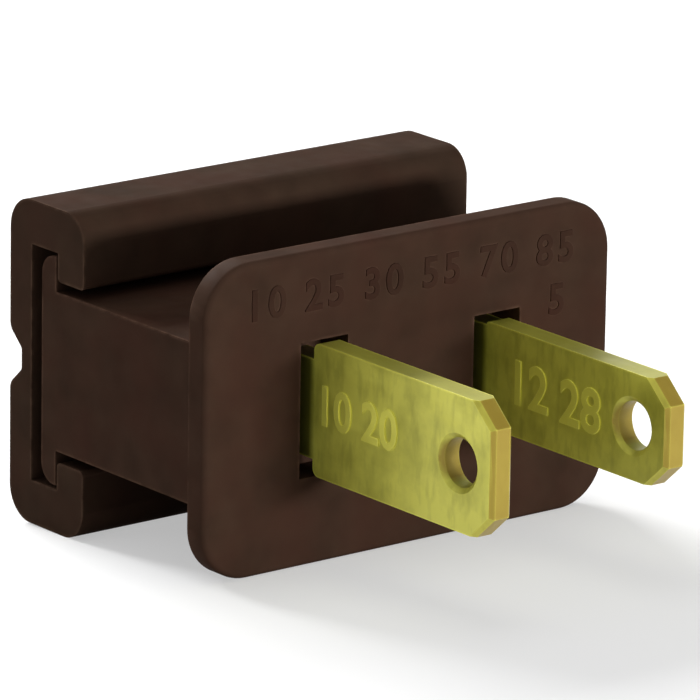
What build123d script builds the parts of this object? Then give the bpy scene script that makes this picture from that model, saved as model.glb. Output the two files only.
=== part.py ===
from build123d import *
import os

# A slide-on plug for flat two-conductor cord, in millimetres. The origin is the centre of the
# flange's front face. The blades reach towards -Y, the cover closes the rear at +Y, and the
# cover slides along X. Names that start with y_, x_ or z_ are places. The others are sizes.

# Blades: sheet metal blanks, one of them wider than the other
blade_spacing = 12.7
blade_thickness = 1.5
blade_reach = 16.2
narrow_blade_width = 6.35
wide_blade_extra = 1.59
least_shoulder = 0.2
shoulder_radius = 0.5
tip_chamfer_length = 1.5
tip_chamfer_height = 1.35
tip_bevel = 0.25
blade_hole_diameter = 2.9
blade_hole_from_tip = 3.05
hole_sink_width = 0.3
hole_sink_depth = 0.25

# Tangs: the blades' inner ends, with barbs that bite into the body and a prong for the cord
tang_clearance = 0.03
barb_count = 2
barb_length = 1.4
barb_height = 0.25
barb_pitch = 2.2
last_barb_from_seat = 2.0
prong_width = 1.5
prong_point_length = 1.6
prong_point_width = 0.3
prong_tip_gap = 0.5

# Cord: two round conductors side by side, pressed onto the prongs by the cover
cord_thickness = 2.6
cord_squeeze = 0.1
groove_clearance = 0.05
prong_to_cord_stop = 4.5

# Body: flange, neck, rear rails and stop lugs in one moulding
flange_height = 18.7
flange_thickness = 1.6
flange_corner_radius = 3.2
flange_edge_radius = 0.4
flange_end_overhang = 0.2
blade_to_closed_end = 8.3
blade_to_open_end = 7.3
slot_side_gap = 0.95
wide_slot_end_gap = 0.08
narrow_slot_end_gap = 0.45
slot_depth = 2.5
neck_wall = 0.75
flange_to_cover = 10.35
seat_below_cord = 2.0
rail_overhang = 2.1
rail_thickness = 1.4
rail_corner_radius = 1.2
stop_lug_thickness = 1.2
stop_lug_depth = 1.3
stop_lug_height = 1.5
stop_lug_clearance = 0.1

# Cover: a C-shaped section that runs on the rails
lip_thickness = 2.55
rail_clearance = 0.15
lip_side_gap = 0.65
rail_side_gap = 0.25
cord_slit = 1.0
cover_back_wall = 2.15
cover_arm_thickness = 2.65
cover_rear_radius = 2.0
lip_front_radius = 1.8
lip_tip_radius = 0.3
finger_groove_mouth = 3.4
finger_groove_floor = 1.3
finger_groove_depth = 1.15
finger_groove_shoulder_radius = 0.8
finger_groove_floor_radius = 0.35
lead_in_length = 3.0
lead_in_depth = 0.4

# Places along Y, from the flange's front face to the cover's rear face
y_cover_front = flange_thickness + flange_to_cover
y_lip_back = y_cover_front + lip_thickness
y_rail_front = y_lip_back + rail_clearance
y_body_rear = y_rail_front + rail_thickness
y_cover_inner = y_body_rear + cord_slit
y_cover_rear = y_cover_inner + cover_back_wall
y_cord_floor = y_cover_inner - cord_thickness + cord_squeeze
y_tang_seat = y_cord_floor - seat_below_cord
y_prong_tip = y_cover_inner - prong_tip_gap
y_lug_front = y_rail_front - stop_lug_depth

# Half heights along Z, from the blade slot outwards to the cover
wide_blade_width = narrow_blade_width + wide_blade_extra
z_tang = narrow_blade_width / 2 - least_shoulder
z_narrow_slot = narrow_blade_width / 2 + narrow_slot_end_gap
z_wide_slot = wide_blade_width / 2 + wide_slot_end_gap
z_neck = z_wide_slot + neck_wall
z_rail = z_neck + rail_overhang
z_lip_tip = z_neck + lip_side_gap
z_cavity = z_rail + rail_side_gap
z_cover = z_cavity + cover_arm_thickness
z_stop_lug = z_neck + stop_lug_height

# Places along X, from the body's closed end to the end where the cord leaves
x_blade = blade_spacing / 2
x_closed = -x_blade - blade_to_closed_end
x_open = x_blade + blade_to_open_end
x_cord_stop = -x_blade - prong_to_cord_stop
x_lug = x_open - stop_lug_thickness

flange_length = 2 * (flange_end_overhang - x_closed)
neck_root_radius = 0.8 * flange_end_overhang
conductor_pitch = cord_thickness
groove_radius = cord_thickness / 2 + groove_clearance
touching = 1e-6


def block(x, y, z):
    """A box from three (low, high) pairs."""
    size = [high - low for low, high in (x, y, z)]
    middle = [(high + low) / 2 for low, high in (x, y, z)]
    return Pos(*middle) * Box(*size)


def rectangle(y, z):
    """A rectangle seen along X, from two (low, high) pairs."""
    return Pos((y[0] + y[1]) / 2, (z[0] + z[1]) / 2) * Rectangle(y[1] - y[0], z[1] - z[0])


def both_sides(value):
    return (-value, value)


def round_corners(section, y, z, radius):
    """Rounds the section's two corners at (y, z) and (y, -z)."""
    corners = [
        corner
        for corner in section.vertices()
        if abs(corner.X - y) < touching and abs(abs(corner.Y) - z) < touching
    ]
    return fillet(corners, radius)


def along_x(section, x_low, x_high):
    """Extrudes a section whose own X and Y are the part's Y and Z."""
    return extrude(Plane.YZ.offset(x_low) * section, amount=x_high - x_low)


def flange():
    plate = RectangleRounded(flange_length, flange_height, flange_corner_radius)
    solid = extrude(Plane.XZ * plate, amount=-flange_thickness)
    front_edges = solid.faces().sort_by(Axis.Y)[0].edges()
    return fillet(front_edges, flange_edge_radius)


def neck_and_rails():
    neck = rectangle((flange_thickness, y_body_rear), both_sides(z_neck))
    rails = rectangle((y_rail_front, y_body_rear), both_sides(z_rail))
    rails = round_corners(rails, y_body_rear, z_rail, rail_corner_radius)
    return along_x(neck + rails, x_closed, x_open)


def neck_root(solid):
    """The edges where the neck leaves the flange's rear face."""
    near = solid.edges().filter_by_position(
        Axis.Y, flange_thickness - touching, flange_thickness + touching
    )
    near = near.filter_by_position(Axis.X, x_closed - touching, x_open + touching)
    return near.filter_by_position(Axis.Z, -z_neck - touching, z_neck + touching)


def stop_lugs():
    """One lug behind each lip, in the corner of neck and rail, that stops the closing cover."""
    return block((x_lug, x_open), (y_lug_front, y_rail_front), both_sides(z_stop_lug))


def cord_trough():
    """Two round grooves side by side, open at the rear and at one end."""
    y_centre = y_cord_floor + groove_radius
    half_width = conductor_pitch / 2 + groove_radius
    section = rectangle((y_centre, y_cover_inner), both_sides(half_width))
    for side in (-1, 1):
        section += Pos(y_centre, side * conductor_pitch / 2) * Circle(groove_radius)
    return along_x(section, x_cord_stop, x_open)


def barbs():
    """The barbs on both edges of a tang: steep towards the blade, sloped towards the seat."""
    shapes = []
    for index in range(barb_count):
        y_high = y_tang_seat - last_barb_from_seat - index * barb_pitch
        y_low = y_high - barb_length
        for side in (-1, 1):
            z_root = side * z_tang
            z_tip = side * (z_tang + barb_height)
            outline = Polyline((y_low, 0), (y_low, z_tip), (y_high, z_root), (y_high, 0), close=True)
            shapes.append(make_face(outline))
    return Sketch() + shapes


def blade_pocket(x_centre, z_slot, prong_side):
    """The room for one blade: a wide slot at the flange, then a close fit for tang and prong."""
    half = blade_thickness / 2
    slot = block(both_sides(half + slot_side_gap), (0, slot_depth), both_sides(z_slot))
    tang = rectangle((0, y_tang_seat), both_sides(z_tang + tang_clearance))
    z_prong = prong_side * conductor_pitch / 2
    half_prong = prong_width / 2 + tang_clearance
    prong = rectangle((y_tang_seat, y_cover_inner), (z_prong - half_prong, z_prong + half_prong))
    fit = along_x(tang + barbs() + prong, -half - tang_clearance, half + tang_clearance)
    return Pos(x_centre, 0, 0) * (slot + fit)


def plug_body():
    solid = flange() + neck_and_rails()
    solid = fillet(neck_root(solid), neck_root_radius)
    solid += stop_lugs()
    solid -= cord_trough()
    solid -= blade_pocket(-x_blade, z_wide_slot, 1)
    solid -= blade_pocket(x_blade, z_narrow_slot, -1)
    return solid


def cover_section():
    """The cover's C-shaped section, with a groove along its back for a fingertip."""
    section = rectangle((y_cover_front, y_cover_rear), both_sides(z_cover))
    section -= rectangle((y_lip_back, y_cover_inner), both_sides(z_cavity))
    section -= rectangle((y_cover_front, y_lip_back), both_sides(z_lip_tip))
    section -= finger_groove()
    corners = (
        (y_cover_rear, z_cover, cover_rear_radius),
        (y_cover_rear, finger_groove_mouth / 2, finger_groove_shoulder_radius),
        (y_cover_front, z_cover, lip_front_radius),
        (y_cover_front, z_lip_tip, lip_tip_radius),
        (y_lip_back, z_lip_tip, lip_tip_radius),
    )
    for y, z, radius in corners:
        section = round_corners(section, y, z, radius)
    return section


def finger_groove():
    y_floor = y_cover_rear - finger_groove_depth
    half_floor = finger_groove_floor / 2
    half_mouth = finger_groove_mouth / 2
    outline = Polyline(
        (y_cover_rear, -half_mouth),
        (y_floor, -half_floor),
        (y_floor, half_floor),
        (y_cover_rear, half_mouth),
        close=True,
    )
    return round_corners(make_face(outline), y_floor, half_floor, finger_groove_floor_radius)


def sliding_cover():
    solid = along_x(cover_section(), x_closed, x_open)
    relief_x = (x_lug - stop_lug_clearance, x_open)
    relief_y = (y_lug_front - rail_clearance, y_lip_back)
    relief_z = both_sides(z_stop_lug + rail_clearance)
    solid -= block(relief_x, relief_y, relief_z)
    ramp = Polyline(
        (x_open, y_cover_inner),
        (x_open, y_cover_inner + lead_in_depth),
        (x_open - lead_in_length, y_cover_inner),
        close=True,
    )
    return solid - extrude(make_face(ramp), amount=z_cavity, both=True)


def blade_outline(width, prong_side):
    """The blank seen along X: blade, rounded shoulders, barbed tang and pointed prong."""
    half = width / 2
    blade = make_face(
        Polyline(
            (0, -half),
            (tip_chamfer_length - blade_reach, -half),
            (-blade_reach, tip_chamfer_height - half),
            (-blade_reach, half - tip_chamfer_height),
            (tip_chamfer_length - blade_reach, half),
            (0, half),
            close=True,
        )
    )
    radius = min(shoulder_radius, half - z_tang)
    blade = fillet(blade.vertices().sort_by(Axis.X)[-2:], radius)
    tang = rectangle((-radius, y_tang_seat), both_sides(z_tang))
    z_prong = prong_side * conductor_pitch / 2
    half_prong = prong_width / 2
    half_point = prong_point_width / 2
    y_taper = y_prong_tip - prong_point_length
    prong = make_face(
        Polyline(
            (y_tang_seat, z_prong - half_prong),
            (y_taper, z_prong - half_prong),
            (y_prong_tip, z_prong - half_point),
            (y_prong_tip, z_prong + half_point),
            (y_taper, z_prong + half_prong),
            (y_tang_seat, z_prong + half_prong),
            close=True,
        )
    )
    return blade + tang + barbs() + prong


def blade_thickness_outline():
    """The blank seen along Z: thinned at the prong's point."""
    half = blade_thickness / 2
    half_point = prong_point_width / 2
    y_taper = y_prong_tip - prong_point_length
    return make_face(
        Polyline(
            (-half, -blade_reach),
            (half, -blade_reach),
            (half, y_taper),
            (half_point, y_prong_tip),
            (-half_point, y_prong_tip),
            (-half, y_taper),
            close=True,
        )
    )


def tip_edges(solid):
    """The edges around the tip on both broad faces."""
    y_tip_start = tip_chamfer_length - blade_reach
    near_tip = solid.edges().filter_by_position(
        Axis.Y, -blade_reach - touching, y_tip_start + touching
    )
    return near_tip.filter_by(Axis.X, reverse=True)


def blade_hole():
    """The hole's tool, turned about X, with a shallow sink at each face."""
    half = blade_thickness / 2
    radius = blade_hole_diameter / 2
    outline = Polyline(
        (-half, 0),
        (-half, radius + hole_sink_width),
        (hole_sink_depth - half, radius),
        (half - hole_sink_depth, radius),
        (half, radius + hole_sink_width),
        (half, 0),
        close=True,
    )
    return Pos(0, blade_hole_from_tip - blade_reach, 0) * revolve(make_face(outline), Axis.X)


def blade(x_centre, width, prong_side):
    half = blade_thickness / 2
    side = along_x(blade_outline(width, prong_side), -half, half)
    edge = extrude(blade_thickness_outline(), amount=width, both=True)
    blank = side & edge
    blank = chamfer(tip_edges(blank), tip_bevel)
    return Pos(x_centre, 0, 0) * (blank - blade_hole())


os.makedirs("parts", exist_ok=True)
export_step(plug_body(), "parts/plug_body.step")
export_step(sliding_cover(), "parts/sliding_cover.step")
export_step(blade(-x_blade, wide_blade_width, 1), "parts/wide_blade.step")
export_step(blade(x_blade, narrow_blade_width, -1), "parts/narrow_blade.step")
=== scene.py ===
import math

import bpy
from mathutils import Matrix, Vector


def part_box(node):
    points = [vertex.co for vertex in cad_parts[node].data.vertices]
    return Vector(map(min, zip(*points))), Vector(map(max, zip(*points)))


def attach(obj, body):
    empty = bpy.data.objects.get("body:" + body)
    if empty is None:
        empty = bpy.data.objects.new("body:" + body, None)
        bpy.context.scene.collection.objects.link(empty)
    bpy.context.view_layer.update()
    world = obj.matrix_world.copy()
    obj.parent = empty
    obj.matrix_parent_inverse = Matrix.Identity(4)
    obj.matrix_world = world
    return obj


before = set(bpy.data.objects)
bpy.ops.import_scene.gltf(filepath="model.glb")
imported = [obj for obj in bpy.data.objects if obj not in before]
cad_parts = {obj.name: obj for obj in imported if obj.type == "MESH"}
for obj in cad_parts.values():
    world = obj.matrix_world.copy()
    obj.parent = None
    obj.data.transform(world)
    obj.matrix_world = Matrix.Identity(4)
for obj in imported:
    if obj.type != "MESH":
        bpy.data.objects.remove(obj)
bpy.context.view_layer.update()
scene = bpy.context.scene

# Sizes are in metres, angles in degrees and colours linear. The origin is the centre of the
# flange's front face. The blades reach towards -Y and the plug lies on its long side, +Z up.
MM = 0.001

# Camera: the direction that it looks from, its roll and distance, its lens in millimetres, and
# how far right of the origin and above it, as the camera sees them, the picture's centre lies
CAMERA_AZIMUTH = -38.34
CAMERA_ELEVATION = 15.90
CAMERA_ROLL = 0.94
CAMERA_DISTANCE = 428.0 * MM
CAMERA_LENS = 381.35
CAMERA_CLIP_START = 10 * MM
AIM_RIGHT = -3.53 * MM
AIM_UP = 2.20 * MM

# Colours
WHITE = (1.0, 1.0, 1.0)
BODY_BROWN = (0.0420, 0.0233, 0.0155)
COVER_BROWN = (0.0385, 0.0228, 0.0150)
MARK_BROWN = (0.0360, 0.0185, 0.0125)
BRASS = (0.70, 0.675, 0.100)
# The tarnish colour serves real stains and scuffs, and also painted shade in the slot and on the
# faces that point up and down
BRASS_TARNISH_AND_SHADE = (0.40, 0.385, 0.045)
BRASS_CUT = (0.29, 0.185, 0.018)
FLOOR_GREY = (0.5, 0.5, 0.5)

# Plastic: the mottle's swing to either side, the reddish patches as factors on red, green and
# blue, and the lighter edges' width, brightness and strength; these edges are partly rubbed wear
# and partly a painted highlight
MOTTLE = 0.17
REDDISH = (1.12, 0.90, 0.92)
WEAR_AND_HIGHLIGHT_WIDTH = 0.25 * MM
WEAR_AND_HIGHLIGHT_GAIN = 2.3
WEAR_AND_HIGHLIGHT_SHARE = 0.8

# Brass: factors on its colours, the width of the painted highlight on its edges, and the stretch
# along
# Y in which painted shade darkens a blade where it enters its slot
SCUFFED = 0.7
SHEARED_AND_SHADED = 0.8
PAINTED_SLOT_SHADE = 0.2
EDGE_PAINTED_HIGHLIGHT = 1.25
EDGE_PAINTED_HIGHLIGHT_WIDTH = 0.15 * MM
SLOT_SHADE = (-0.1 * MM, 0.4 * MM)
# The stamped marks' brass is painted lighter, as a painted highlight on their raised strokes
MARK_PAINTED_HIGHLIGHT = 1.35

# Widths of the small bevel on sharp edges
PLASTIC_BEVEL = 0.12 * MM
BRASS_BEVEL = 0.10 * MM
BEVEL_FROM_ANGLE = 40

# Numbers: the built-in lettering's digit height at size 1, what its strokes gain as a share of
# the digit height, and half a number's thickness, to which its rounded edge adds half again
FONT_DIGIT_HEIGHT = 0.7
STROKE_GAIN = 0.02
RELIEF = 0.05 * MM

# Light levels, where a strength of 1 shows as white. The ceiling is grey in reflections only,
# and its shade grows between two heights, as parts of a direction's length.
SKY_ON_OBJECT = 0.38
BACKGROUND = 1.0
CEILING_IN_GLOSS = 0.25
CEILING_FADE = (0.4, 0.75)
FLOOR_LIFT = 0.45

# The floor's size, and the radii of the two edges that the plug rests on
FLOOR_SIZE = 3.0
FLANGE_EDGE_RADIUS = 0.4 * MM
COVER_EDGE_RADIUS = 1.8 * MM


def from_angles(azimuth, elevation):
    """The unit vector from the object towards a camera or lamp. Azimuth 0 looks along +Y."""
    a = math.radians(azimuth)
    e = math.radians(elevation)
    return Vector((math.sin(a) * math.cos(e), -math.cos(a) * math.cos(e), math.sin(e)))


def add_camera():
    """The photograph's viewpoint."""
    back = from_angles(CAMERA_AZIMUTH, CAMERA_ELEVATION)
    right = Vector((0, 0, 1)).cross(back).normalized()
    up = back.cross(right)
    turn = Matrix.Rotation(math.radians(CAMERA_ROLL), 3, back)
    axes = Matrix((turn @ right, turn @ up, back)).transposed()
    place = AIM_RIGHT * right + AIM_UP * up + CAMERA_DISTANCE * back
    camera = bpy.data.objects.new("camera", bpy.data.cameras.new("camera"))
    camera.matrix_world = Matrix.Translation(place) @ axes.to_4x4()
    camera.data.lens = CAMERA_LENS
    camera.data.clip_start = CAMERA_CLIP_START
    scene.collection.objects.link(camera)
    scene.camera = camera


class Nodes:
    """Short calls for the shader nodes of one material or of the world."""

    def __init__(self, owner):
        owner.use_nodes = True
        self.nodes = owner.node_tree.nodes
        self.links = owner.node_tree.links

    def feed(self, socket, value):
        """Links another node's output to an input, or sets the input's own value."""
        if isinstance(value, bpy.types.NodeSocket):
            self.links.new(value, socket)
        else:
            socket.default_value = value

    def node(self, kind, inputs=None, **settings):
        made = self.nodes.new("ShaderNode" + kind)
        for name, value in settings.items():
            setattr(made, name, value)
        for name, value in (inputs or {}).items():
            self.feed(made.inputs[name], value)
        return made

    def math(self, operation, *values):
        return self.node("Math", dict(enumerate(values)), operation=operation).outputs[0]

    def split(self, vector):
        return self.node("SeparateXYZ", {0: vector}).outputs

    def spread(self, value, low, high, to_low=0.0, to_high=1.0):
        """Maps low to high onto to_low to to_high, and holds the ends."""
        inputs = {
            "Value": value,
            "From Min": low,
            "From Max": high,
            "To Min": to_low,
            "To Max": to_high,
        }
        return self.node("MapRange", inputs).outputs["Result"]

    def place(self):
        return self.node("TexCoord").outputs["Object"]

    def normal(self):
        return self.node("TexCoord").outputs["Normal"]

    def noise(self, scale, detail=3.0, stretch=(1, 1, 1)):
        """Noise in the object's own coordinates. Scale is in waves per millimetre."""
        per_mm = [s / MM for s in stretch]
        mapping = self.node("Mapping", {"Vector": self.place(), "Scale": per_mm})
        inputs = {"Vector": mapping.outputs["Vector"], "Scale": scale, "Detail": detail}
        return self.node("TexNoise", inputs).outputs["Fac"]

    def mix(self, factor, first, second):
        """Mixes two colours. The node has same-named sockets for each kind of data."""
        mixer = self.node("Mix", data_type="RGBA")
        for name, value in (("Factor_Float", factor), ("A_Color", first), ("B_Color", second)):
            self.feed(next(s for s in mixer.inputs if s.identifier == name), value)
        return next(s for s in mixer.outputs if s.identifier == "Result_Color")

    def layers(self, base, *covers):
        """Lays colours over a base, each by its own factor."""
        for factor, colour in covers:
            base = self.mix(factor, base, colour)
        return base

    def bump(self, height, strength, distance, under=None):
        inputs = {"Height": height, "Strength": strength, "Distance": distance}
        if under is not None:
            inputs["Normal"] = under
        return self.node("Bump", inputs).outputs["Normal"]

    def edges(self, radius):
        """1 on the outer edges and 0 on flat surfaces."""
        inputs = {"Distance": radius}
        occlusion = self.node("AmbientOcclusion", inputs, inside=True, samples=8)
        return self.spread(occlusion.outputs["AO"], 0.92, 0.55)

    def background_rays(self):
        """Two factors: 1 for rays that see the background straight, and 1 for those in gloss."""
        path = self.node("LightPath").outputs
        direct = self.math("MAXIMUM", path["Is Camera Ray"], path["Is Transmission Ray"])
        return direct, path["Is Glossy Ray"]


def tint(colour, factor=1.0):
    """A colour times a factor, with its alpha."""
    return (*[part * factor for part in colour], 1.0)


def new_material(name, **values):
    """A material with some inputs of its shader set, its node calls, and that shader."""
    material = bpy.data.materials.new(name)
    tools = Nodes(material)
    surface = tools.nodes["Principled BSDF"]
    for socket, value in values.items():
        tools.feed(surface.inputs[socket.replace("_", " ")], value)
    return material, tools, surface


def plastic(name, colour, wear_and_highlight_share):
    """Satin moulded plastic: mottled, with a fine mould texture, soft sinks and lighter edges of
    rubbed wear and painted highlight.
    """
    material, tools, surface = new_material(name, IOR=1.35, Specular_IOR_Level=0.01)
    mottle = tools.spread(tools.noise(scale=0.4, detail=4.0), 0.3, 0.7)
    patches = tools.spread(tools.noise(scale=0.22, detail=5.0), 0.4, 0.65, to_high=0.6)
    uneven = tools.spread(tools.noise(scale=1.1), 0.35, 0.6)
    # Partly painted highlight: the outer edges are painted lighter, partly as rubbed wear and
    # partly as the light that the rounded edges catch
    wear_and_highlight = tools.math("MULTIPLY", tools.edges(WEAR_AND_HIGHLIGHT_WIDTH), uneven)
    base = tools.layers(
        tint(colour, 1 - MOTTLE),
        (mottle, tint(colour, 1 + MOTTLE)),
        (patches, tint([part * factor for part, factor in zip(colour, REDDISH)])),
        (tools.math("MULTIPLY", wear_and_highlight, wear_and_highlight_share), tint(colour, WEAR_AND_HIGHLIGHT_GAIN)),
    )
    tools.feed(surface.inputs["Base Color"], base)
    haze = tools.noise(scale=0.9, detail=5.0)
    roughness = tools.spread(haze, 0.2, 0.8, to_low=0.5, to_high=0.75)
    tools.feed(surface.inputs["Roughness"], roughness)
    texture = tools.noise(scale=8.0, detail=2.0)
    grain = tools.bump(texture, strength=0.3, distance=0.01 * MM)
    hollows = tools.noise(scale=0.45, detail=1.0)
    sinks = tools.bump(hollows, strength=0.2, distance=0.05 * MM, under=grain)
    tools.feed(surface.inputs["Normal"], sinks)
    return material


def brass(name, painted_lightness):
    """Stamped sheet brass: rolling marks along the blade, stains, dents, dull sheared edges
    deepened by painted shade, painted shade in the slot and painted edge highlights.
    """
    material, tools, surface = new_material(name, Metallic=0.35)
    stains = tools.spread(tools.noise(scale=0.35, detail=4.0), 0.45, 0.7, to_high=0.7)
    scuffs = tools.spread(tools.noise(scale=1.6, stretch=(1, 1, 0.3)), 0.5, 0.7, to_high=0.35)
    facing = tools.split(tools.normal())
    # Partly painted shade: faces that point up or down are darkened, partly as the duller sheared
    # edges of the stamping and partly as painted shade
    sheared_and_shaded = tools.spread(tools.math("ABSOLUTE", facing["Z"]), 0.6, 0.9, to_high=0.8)
    cut_tip = tools.spread(facing["Y"], -0.4, -0.65, to_high=0.85)
    # Painted shade: the blade is darkened where it runs into its slot, where the slot's walls
    # shade it
    painted_slot_shade = tools.spread(tools.split(tools.place())["Y"], *SLOT_SHADE, to_high=0.85)
    # Painted highlight: the blade's edges are painted lighter, as the glint on their small
    # rounding
    painted_edge_highlight = tools.math("MULTIPLY", tools.edges(EDGE_PAINTED_HIGHLIGHT_WIDTH), 0.8)
    base = tools.layers(
        tint(BRASS, painted_lightness),
        (stains, tint(BRASS_TARNISH_AND_SHADE, painted_lightness)),
        (scuffs, tint(BRASS_TARNISH_AND_SHADE, SCUFFED * painted_lightness)),
        (sheared_and_shaded, tint(BRASS_TARNISH_AND_SHADE, SHEARED_AND_SHADED)),
        (cut_tip, tint(BRASS_CUT)),
        (painted_slot_shade, tint(BRASS_TARNISH_AND_SHADE, PAINTED_SLOT_SHADE)),
        (painted_edge_highlight, tint(BRASS, EDGE_PAINTED_HIGHLIGHT)),
    )
    tools.feed(surface.inputs["Base Color"], base)
    smears = tools.noise(scale=1.2, detail=4.0, stretch=(1, 0.25, 1))
    roughness = tools.spread(smears, 0.2, 0.8, to_low=0.27, to_high=0.45)
    tools.feed(surface.inputs["Roughness"], roughness)
    lines = tools.noise(scale=5.0, stretch=(1, 0.07, 1))
    rolling = tools.bump(lines, strength=0.25, distance=0.02 * MM)
    hollows = tools.noise(scale=1.2, detail=2.0)
    dents = tools.bump(hollows, strength=0.3, distance=0.05 * MM, under=rolling)
    tools.feed(surface.inputs["Normal"], dents)
    return material


def soften_edges(part, width):
    """Gives a part the small edge radius of a moulding or a stamping."""
    weld = part.modifiers.new("weld", "WELD")
    weld.merge_threshold = 0.001 * MM
    bevel = part.modifiers.new("edges", "BEVEL")
    bevel.width = width
    bevel.segments = 2
    bevel.limit_method = "ANGLE"
    bevel.angle_limit = math.radians(BEVEL_FROM_ANGLE)
    bevel.harden_normals = True


def dress(node, material, bevel):
    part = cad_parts[node]
    part.data.materials.clear()
    part.data.materials.append(material)
    soften_edges(part, bevel)


def raised_number(name, text, height, spacing, middle, facing):
    """A plain number in low relief. It is centred on a point and faces along -X or -Y."""
    curve = bpy.data.curves.new(name, "FONT")
    curve.body = text
    curve.align_x = "CENTER"
    curve.align_y = "CENTER"
    curve.size = height / FONT_DIGIT_HEIGHT
    curve.offset = STROKE_GAIN * height
    curve.space_character = spacing
    curve.extrude = RELIEF
    curve.bevel_depth = RELIEF / 2
    curve.resolution_u = 4
    lettering = bpy.data.objects.new(name, curve)
    scene.collection.objects.link(lettering)
    mesh = bpy.data.meshes.new_from_object(lettering)
    bpy.data.objects.remove(lettering)
    turn = math.radians(-90 if facing == "-X" else 0)
    upright = Matrix.Rotation(math.radians(90), 4, "X")
    mesh.transform(Matrix.Translation(middle) @ Matrix.Rotation(turn, 4, "Z") @ upright)
    number = bpy.data.objects.new(name, mesh)
    scene.collection.objects.link(number)
    return number


def add_numbers(on_plastic, on_brass):
    """Plain numbers moulded on the flange and stamped on the blades."""
    wide_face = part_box("wide_blade")[0][0] / MM
    narrow_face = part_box("narrow_blade")[0][0] / MM
    # Piece, text, digit height, letter spacing, middle, facing and material. The heights and
    # middles are in millimetres.
    rows = (
        ("flange_row", "10 25 30 55 70 85", 1.8, 1.25, (0.0, 0.0, 6.7), "-Y", on_plastic),
        ("flange_mark", "5", 1.8, 1.0, (10.8, 0.0, 3.6), "-Y", on_plastic),
        ("wide_blade_row", "10 20", 2.3, 1.0, (wide_face, -4.0, 0.3), "-X", on_brass),
        ("narrow_blade_mark_1", "12", 2.6, 1.0, (narrow_face, -3.9, 0.0), "-X", on_brass),
        ("narrow_blade_mark_2", "28", 2.6, 1.0, (narrow_face, -8.6, -0.1), "-X", on_brass),
    )
    for name, text, height, spacing, middle, facing, material in rows:
        number = raised_number(name, text, height * MM, spacing, Vector(middle) * MM, facing)
        number.data.materials.append(material)
        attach(number, "plug")


def add_world():
    """A white background, whose reflection fades to a grey ceiling, and a plain soft sky."""
    world = bpy.data.worlds.new("studio")
    scene.world = world
    tools = Nodes(world)
    up = tools.split(tools.node("TexCoord").outputs["Generated"])["Z"]
    reflected = tools.spread(up, *CEILING_FADE, to_low=BACKGROUND, to_high=CEILING_IN_GLOSS)
    direct, glossy = tools.background_rays()
    seen = tools.spread(direct, 0.0, 1.0, to_low=SKY_ON_OBJECT, to_high=BACKGROUND)
    level = tools.node("Mix", {"Factor": glossy, "A": seen, "B": reflected}).outputs["Result"]
    tools.feed(tools.nodes["Background"].inputs["Color"], tint(WHITE))
    tools.feed(tools.nodes["Background"].inputs["Strength"], level)


def add_floor():
    """A pale floor. The plug rests on the flange's front edge and the edge under the cover's lip.

    Both edges are round, so the floor is the tangent below two circles, seen along X.
    """
    flange_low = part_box("plug_body")[0]
    cover_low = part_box("sliding_cover")[0]
    flange = Vector((flange_low[1] + FLANGE_EDGE_RADIUS, flange_low[2] + FLANGE_EDGE_RADIUS))
    cover = Vector((cover_low[1] + COVER_EDGE_RADIUS, cover_low[2] + COVER_EDGE_RADIUS))
    apart = cover - flange
    slope = math.atan2(apart.y, apart.x)
    slope -= math.asin((COVER_EDGE_RADIUS - FLANGE_EDGE_RADIUS) / apart.length)
    touch = cover + COVER_EDGE_RADIUS * Vector((math.sin(slope), -math.cos(slope)))
    bpy.ops.mesh.primitive_plane_add(size=FLOOR_SIZE)
    floor = bpy.context.object
    floor.name = "floor"
    floor.location = (0, touch.x, touch.y)
    floor.rotation_euler = (slope, 0, 0)
    material, tools, surface = new_material(
        "floor_white",
        Base_Color=tint(FLOOR_GREY),
        Roughness=0.9,
        Specular_IOR_Level=0.0,
        Emission_Color=tint(WHITE),
    )
    shown = tools.math("MAXIMUM", *tools.background_rays())
    tools.feed(surface.inputs["Emission Strength"], tools.math("MULTIPLY", shown, FLOOR_LIFT))
    floor.data.materials.append(material)


def add_lamp(name, azimuth, elevation, distance, width, height, level):
    """A soft lamp that faces the origin. Its level is what it adds to a surface facing it."""
    lamp = bpy.data.lights.new(name, "AREA")
    lamp.shape = "RECTANGLE"
    lamp.size = width
    lamp.size_y = height
    lamp.energy = level * (math.pi * distance) ** 2
    placed = bpy.data.objects.new(name, lamp)
    direction = from_angles(azimuth, elevation)
    placed.location = direction * distance
    placed.rotation_euler = direction.to_track_quat("Z", "Y").to_euler()
    scene.collection.objects.link(placed)


def add_lights():
    add_lamp("front", azimuth=8, elevation=5, distance=0.7, width=0.18, height=0.05, level=0.82)
    add_lamp("left", azimuth=-118, elevation=6, distance=0.6, width=0.15, height=0.08, level=0.07)
    add_lamp("back", azimuth=176, elevation=27, distance=0.6, width=0.35, height=0.12, level=2.0)
    add_lamp("top", azimuth=176, elevation=78, distance=0.6, width=0.30, height=0.30, level=0.22)


scene.view_settings.view_transform = "Standard"
add_camera()
add_world()
add_floor()
add_lights()
blade_brass = brass("blade_brass", painted_lightness=1.0)
dress("plug_body", plastic("body_plastic", BODY_BROWN, WEAR_AND_HIGHLIGHT_SHARE), PLASTIC_BEVEL)
dress("sliding_cover", plastic("cover_plastic", COVER_BROWN, WEAR_AND_HIGHLIGHT_SHARE), PLASTIC_BEVEL)
dress("wide_blade", blade_brass, BRASS_BEVEL)
dress("narrow_blade", blade_brass, BRASS_BEVEL)
# The marks on the blades use a lighter copy of the brass, a painted highlight
add_numbers(plastic("mark_plastic", MARK_BROWN, wear_and_highlight_share=0.0), brass("mark_brass", MARK_PAINTED_HIGHLIGHT))
